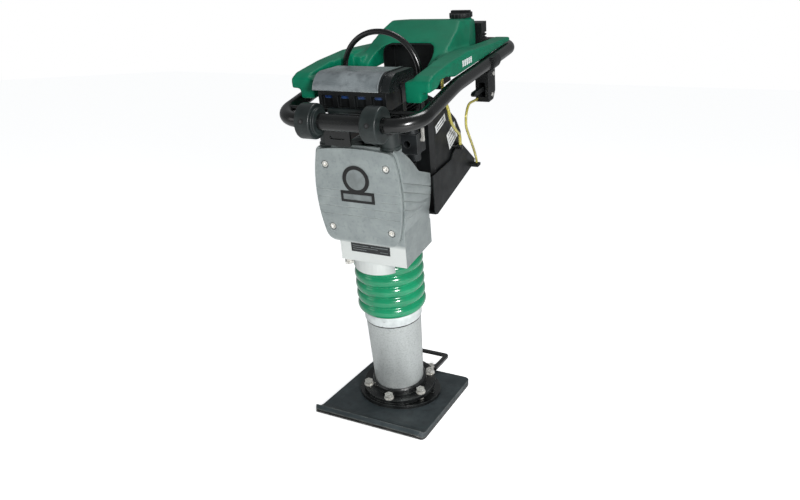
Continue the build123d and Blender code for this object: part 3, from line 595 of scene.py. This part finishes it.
def tube_along(name, route, radius, sides=20):
    """A closed tube whose rings stay level with each other along the route."""
    bm = bmesh.new()
    rings = []
    side = None
    for k, place in enumerate(route):
        along = (route[min(k + 1, len(route) - 1)] - route[max(k - 1, 0)]).normalized()
        side = along.orthogonal() if side is None else side - along * side.dot(along)
        side = side.normalized()
        other = along.cross(side)
        ring = []
        for j in range(sides):
            turn = 2 * math.pi * j / sides
            reach = side * math.cos(turn) + other * math.sin(turn)
            ring.append(bm.verts.new(place + reach * radius))
        rings.append(ring)
    for here, there in zip(rings, rings[1:]):
        for j in range(sides):
            bm.faces.new((here[j], here[(j + 1) % sides], there[(j + 1) % sides], there[j]))
    bm.faces.new(list(reversed(rings[0])))
    bm.faces.new(rings[-1])
    mesh = bpy.data.meshes.new(name)
    bm.to_mesh(mesh)
    bm.free()
    return mesh


def flexible_line(name, node, points, diameter):
    """A cable or hose that is fixed on the handle at its top and on the machine at its bottom."""
    route = route_of(points)
    line = piece(name, tube_along(name, route, diameter / 2), SLOT_OF[node])
    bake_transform(line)
    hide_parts(node)


# ---- small details -------------------------------------------------------------------------------
def drum_screws():
    """A sunk set screw in the front of each roller drum, in a black disc that is painted shade for
    the hollow round it.
    """
    toward = Vector((0, -math.cos(math.radians(14)), math.sin(math.radians(14))))
    for name, x in (("left", LEFT_DRUM_X), ("right", RIGHT_DRUM_X)):
        axle = Vector((x, ROLLER_V, ROLLER_W))
        hole_shade, screw = bmesh.new(), bmesh.new()
        # The black disc round the screw is painted shade for its hollow.
        add_rod(hole_shade, axle + toward * (DRUM_R - 0.8), toward, 5.4, 2.4)
        add_rod(screw, axle + toward * (DRUM_R - 0.4), toward, 3.2, 2.4, 6)
        for part, bm, slot in (("shaded_hole", hole_shade, "gasket_black"), ("screw", screw, "spring_steel")):
            obj = piece(f"drum_{part}_{name}", to_mesh(part, bm), slot, smooth=False)
            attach(obj, "roller")


def label(name, v, w, width, height, turn):
    """A blank white label with a few grey bars on the fan shroud's right face."""
    paper, bars = bmesh.new(), bmesh.new()
    place = Matrix.Translation((SHROUD_X, v, w)) @ Matrix.Rotation(math.radians(turn), 4, "X")
    add_box(paper, (0, 0.3), (-width / 2, width / 2), (-height / 2, height / 2))
    rows = max(1, int(height // 9))
    for row in range(rows):
        middle = (row + 0.5 - rows / 2) * height / (rows + 0.4)
        reach = width * (0.38 if row % 2 else 0.3)
        add_box(bars, (0.3, 0.45), (-width * 0.4, reach), (middle - 1.2, middle + 1.2))
    for part, bm, slot in (("paper", paper, "label_white"), ("bars", bars, "plate_black")):
        bm.transform(place)
        obj = piece(f"{name}_{part}", to_mesh(part, bm), slot, smooth=False)
        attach(obj, "machine")


def badge_details():
    """A dark ring round the blank badge and a blank bar below it."""
    place = Matrix.Translation((0, COVER_V - 1.2, BADGE_W))
    face = place @ Matrix.Rotation(math.radians(90), 4, "X")
    ring, frame_bar, blank_bar = bmesh.new(), bmesh.new(), bmesh.new()
    add_lathe(ring, [(23, 0), (23, 0.5), (31.4, 0.5), (31.4, 0)], face)
    add_box(frame_bar, (-40, 40), (COVER_V - 1.4, COVER_V), (588, 613))
    add_box(blank_bar, (-34, 34), (COVER_V - 1.7, COVER_V - 1.3), (594, 607))
    for name, bm, slot in (("badge_ring", ring, "gasket_black"),
                           ("badge_bar", frame_bar, "gasket_black"),
                           ("badge_blank", blank_bar, "badge_plastic")):
        obj = piece(name, to_mesh(name, bm), slot, smooth=False)
        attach(obj, "machine")


def leg_rings():
    """The black collar at the foot of the leg, and a dark ring below the lower clamp that is its
    painted shadow line.
    """
    collar = [(61.4, 52.3), (69, 52.3), (67.5, 64), (65, 67), (62, 67)]
    # The ring under the lower clamp is painted shadow, not a part.
    shadow_ring = [(67.6, 248.5), (68.9, 248.5), (69.2, 251.8), (67.6, 251.8)]
    for name, profile in (("foot_collar", collar), ("clamp_shadow_ring", shadow_ring)):
        bm = bmesh.new()
        add_lathe(bm, profile, Matrix.Identity(4))
        ring = piece(name, to_mesh(name, bm), "black_flange", smooth=False)
        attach(ring, "foot")


def brace_sleeve():
    """A rubber sleeve on the thin brace behind the transport roller."""
    bm = bmesh.new()
    add_rod(bm, (8, BRACE_V, BRACE_W), (1, 0, 0), 7, 100)
    sleeve = piece("brace_sleeve", to_mesh("brace_sleeve", bm), "black_rubber", smooth=False)
    soften_edges(sleeve, 1.5)
    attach(sleeve, "handle")


def arm_mark():
    """A row of small blank marks on the outer side of the tank's right arm."""
    bm = bmesh.new()
    for k in range(5):
        v = 96 + ARM_MARK_PITCH * k
        drop = 0.4 * k
        add_box(bm, (ARM_SIDE_X - 1.6, ARM_SIDE_X), (v, v + 8), (833 - drop, 846 - drop))
    mark = piece("arm_mark", to_mesh("arm_mark", bm), "label_white", smooth=False)
    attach(mark, "handle")


def plate_lines():
    """Blank engraved lines on the name plate."""
    bm = bmesh.new()
    for low, high, w in ((-32, 8, 480), (-32, 30, 475), (-32, 2, 470),
                         (14, 55, 480), (36, 55, 470)):
        add_box(bm, (low, high), (PLATE_V - 0.25, PLATE_V), (w - 0.7, w + 0.7))
    lines = piece("plate_lines", to_mesh("plate_lines", bm), "badge_plastic", smooth=False)
    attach(lines, "machine")


def vent_tabs():
    """The glossy blue mesh edge that shows at the top of each vent of the air cleaner."""
    low, high = CLEANER_LOW_X + VENT_INSET, CLEANER_HIGH_X - VENT_INSET
    for k in range(4):
        x = low + k * (high - low) / 3
        bm = bmesh.new()
        add_box(bm, (x - 9, x + 9), (-94.5, -92.2), (809, 816))
        tab = piece(f"vent_tab_{k + 1}", to_mesh("vent_tab", bm), "vent_blue", smooth=False)
        soften_edges(tab, 0.8)
        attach(tab, "machine")


def throttle_details():
    """Two bolts on the throttle housing's outer face."""
    for k, (v, w) in enumerate(((292, 774), (280, 727))):
        bm = bmesh.new()
        add_rod(bm, (HOUSING_SIDE_X, v, w), (1, 0, 0), 5, 2.4, 6)
        bolt = piece(f"throttle_bolt_{k + 1}", to_mesh("bolt", bm), "zinc_bolts", smooth=False)
        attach(bolt, "handle")


def main():
    make_camera()
    make_studio()
    MATERIALS.update(make_materials())
    finish_cad_nodes()
    tank()
    bellows()
    stretch("lower_spring", "foot", "plunger", leg(0, 0, 62), leg(0, 0, 128))
    stretch("upper_spring", "plunger", "foot", leg(0, 0, 142), leg(0, 0, 206))
    stretch("shock_mounts", "machine", "handle", leg(0, -75, 709), leg(0, -75, 751))
    starter_rope()
    flexible_line("throttle_cable_line", "throttle_cable", THROTTLE_CABLE, CABLE_D)
    flexible_line("fuel_hose_line", "fuel_hose", FUEL_HOSE, HOSE_D)
    drum_screws()
    label("label_strip", 108, 703, 58, 18, 14)
    label("label_square", 172, 655, 54, 42, 20)
    badge_details()
    leg_rings()
    plate_lines()
    brace_sleeve()
    arm_mark()
    vent_tabs()
    throttle_details()


main()
